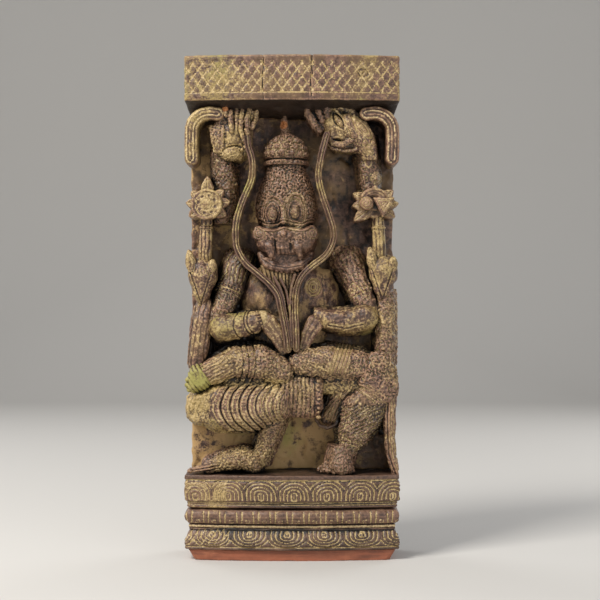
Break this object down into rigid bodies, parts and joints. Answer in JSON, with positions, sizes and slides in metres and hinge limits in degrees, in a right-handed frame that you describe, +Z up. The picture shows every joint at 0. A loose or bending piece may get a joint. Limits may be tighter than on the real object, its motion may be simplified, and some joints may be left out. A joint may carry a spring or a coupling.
{
  "type": "carved deity relief panel",
  "caption": "Tall carved and painted wooden relief panel of a lion-faced many-armed deity between a lattice capital and a stepped lotus base, with a hanging ring in its flat back.",
  "frame": {"origin": "centre of the footprint, on the surface the panel stands on", "axes": "+Z up, carved front towards -Y, flat back towards +Y, +X to the right of a viewer facing the front"},
  "size_m": [0.262, 0.09, 0.61],
  "materials": {
    "painted_wood": "dark stained carved wood with worn olive-gold paint left in the cuts",
    "worn_wood": "dark red-brown carved wood, paint nearly all gone",
    "moulding_wood": "worn olive-gold paint over dark wood, incised ornament",
    "board_wood": "flat chiselled ground, olive-brown wash with green patches",
    "bare_wood": "bare reddish-brown sawn wood",
    "steel_wire": "dull plated wire"
  },
  "bodies": {
    "panel": {"back_board": "board_wood", "capital": "moulding_wood", "chakra": "painted_wood", "chakra_flames": "painted_wood", "chin_collar": "worn_wood", "conch": "painted_wood", "conch_flames": "painted_wood", "crown_cap": "worn_wood", "crown_dome": "worn_wood", "crown_finial": "worn_wood", "lap_figure_body": "painted_wood", "lap_figure_knee": "painted_wood", "lap_figure_legs": "painted_wood", "lap_figure_shin": "painted_wood", "left_disc_arm": "painted_wood", "left_elbow_leaf": "painted_wood", "left_foot": "painted_wood", "left_forearm": "painted_wood", "left_holding_arm": "painted_wood", "left_holding_hand": "painted_wood", "left_raised_arm": "painted_wood", "left_raised_hand": "painted_wood", "left_scroll": "painted_wood", "left_shin": "painted_wood", "left_strand": "painted_wood", "left_tearing_hand": "painted_wood", "left_thigh": "painted_wood", "left_upper_arm": "painted_wood", "lion_head": "worn_wood", "lower_lotus": "moulding_wood", "mane": "painted_wood", "middle_band": "moulding_wood", "plinth": "bare_wood", "right_calf": "painted_wood", "right_conch_arm": "painted_wood", "right_elbow_leaf": "painted_wood", "right_foot": "painted_wood", "right_forearm": "painted_wood", "right_holding_arm": "painted_wood", "right_raised_arm": "painted_wood", "right_raised_hand": "painted_wood", "right_raised_thumb": "painted_wood", "right_scroll": "painted_wood", "right_strand": "painted_wood", "right_tearing_hand": "painted_wood", "right_thigh": "painted_wood", "right_upper_arm": "painted_wood", "ring_staple": "steel_wire", "torso": "painted_wood", "upper_lotus": "moulding_wood", "waist_pleat": "painted_wood", "waist_tassel": "painted_wood"},
    "ring": {"hanging_ring": "steel_wire"}
  },
  "joints": [
    {"name": "ring_swing", "type": "hinge", "parent": "panel", "child": "ring", "pos_m": [0, 0.0405, 0.5], "axis": [1, 0, 0], "range_deg": [0, 170]}
  ]
}
